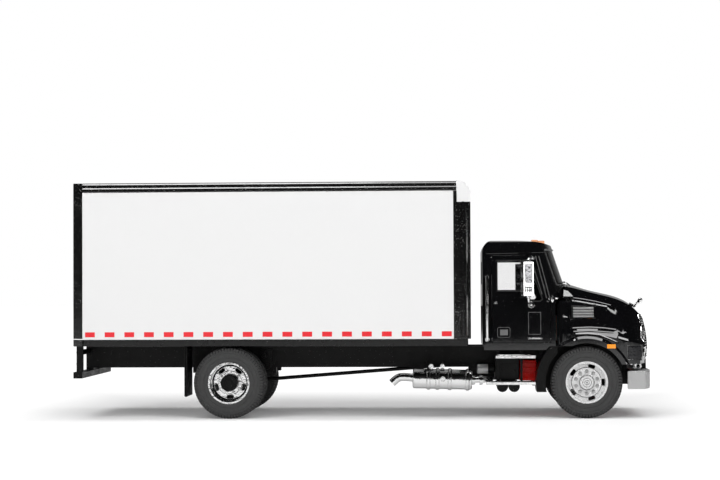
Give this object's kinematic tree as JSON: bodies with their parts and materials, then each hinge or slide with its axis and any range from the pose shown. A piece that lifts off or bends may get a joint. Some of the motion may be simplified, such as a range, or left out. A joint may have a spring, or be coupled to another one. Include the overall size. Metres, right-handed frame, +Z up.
{
  "type": "die-cast scale model of a box truck",
  "caption": "Scale-model box truck: black conventional cab with tilting hood, white van body on a ladder frame, rolling wheels, dual rears, chrome exhaust and mirrors.",
  "frame": {"origin": "on the ground, under the middle of the model's length, on its centre plane", "axes": "+X forward, +Y to the truck's left, +Z up"},
  "size_m": [0.2518, 0.0824, 0.103],
  "materials": {
    "cab_black": "gloss",
    "chassis_black": "satin",
    "box_white": "semi-gloss",
    "box_black": "gloss",
    "chrome": "polished",
    "bumper_silver": "grainy satin",
    "rim_silver": "satin",
    "tyre": "matte",
    "black_plastic": "matte",
    "glass": "clear",
    "amber_lens": "clear gloss",
    "red_lens": "clear gloss",
    "engine_red": "satin",
    "seat_grey": "matte",
    "lamp_clear": "clear gloss"
  },
  "bodies": {
    "chassis": {"chassis_frame": "chassis_black", "leaf_springs": "chassis_black", "front_axle": "chassis_black", "rear_axle_housing": "chassis_black", "drive_shaft": "chassis_black", "gearbox": "engine_red", "engine": "engine_red", "radiator": "black_plastic", "box_underframe": "chassis_black", "box_floor": "box_white", "box_side_right": "box_white", "box_side_left": "box_white", "top_rails": "box_black", "box_roof": "box_white", "box_front_wall": "box_white", "front_posts": "box_black", "front_header": "box_white", "rear_frame": "box_black", "roll_up_door": "box_white", "door_latch": "chrome", "rear_lamps": "red_lens", "cab_shell": "cab_black", "door_right": "cab_black", "door_left": "cab_black", "windscreen": "glass", "rear_window": "glass", "side_windows": "glass", "seats": "seat_grey", "dashboard": "black_plastic", "steering_wheel": "black_plastic", "front_bumper": "bumper_silver", "bumper_brackets": "chassis_black", "tow_eyes": "chrome", "rear_guard": "chassis_black", "mud_flaps": "black_plastic", "splash_guards": "black_plastic", "steps": "chrome", "battery_box": "chassis_black", "air_tanks": "chassis_black", "fuel_tank": "chrome", "exhaust": "chrome", "mirrors": "chrome", "grab_rails": "chrome", "roof_markers": "amber_lens"},
    "hood": {"hood": "cab_black", "grille": "chrome", "headlights": "lamp_clear", "hood_vents": "black_plastic", "side_markers": "amber_lens", "hood_ornament": "chrome"},
    "wheel_front_right": {"tyre_front_right": "tyre", "rim_front_right": "rim_silver"},
    "wheel_front_left": {"tyre_front_left": "tyre", "rim_front_left": "rim_silver"},
    "wheel_rear_right": {"tyre_rear_right": "tyre", "rim_rear_right": "rim_silver"},
    "wheel_rear_left": {"tyre_rear_left": "tyre", "rim_rear_left": "rim_silver"}
  },
  "joints": [
    {"name": "wheel_front_right_spin", "type": "hinge", "parent": "chassis", "child": "wheel_front_right", "pos_m": [0.09705, -0.0315, 0.0155], "axis": [0, 1, 0], "continuous": true},
    {"name": "wheel_front_left_spin", "type": "hinge", "parent": "chassis", "child": "wheel_front_left", "pos_m": [0.09705, 0.0315, 0.0155], "axis": [0, 1, 0], "continuous": true},
    {"name": "wheel_rear_right_spin", "type": "hinge", "parent": "chassis", "child": "wheel_rear_right", "pos_m": [-0.05775, -0.0315, 0.0155], "axis": [0, 1, 0], "continuous": true},
    {"name": "wheel_rear_left_spin", "type": "hinge", "parent": "chassis", "child": "wheel_rear_left", "pos_m": [-0.05775, 0.0315, 0.0155], "axis": [0, 1, 0], "continuous": true},
    {"name": "hood_tilt", "type": "hinge", "parent": "chassis", "child": "hood", "pos_m": [0.12365, 0, 0.022], "axis": [0, 1, 0], "range_deg": [0, 55]}
  ]
}
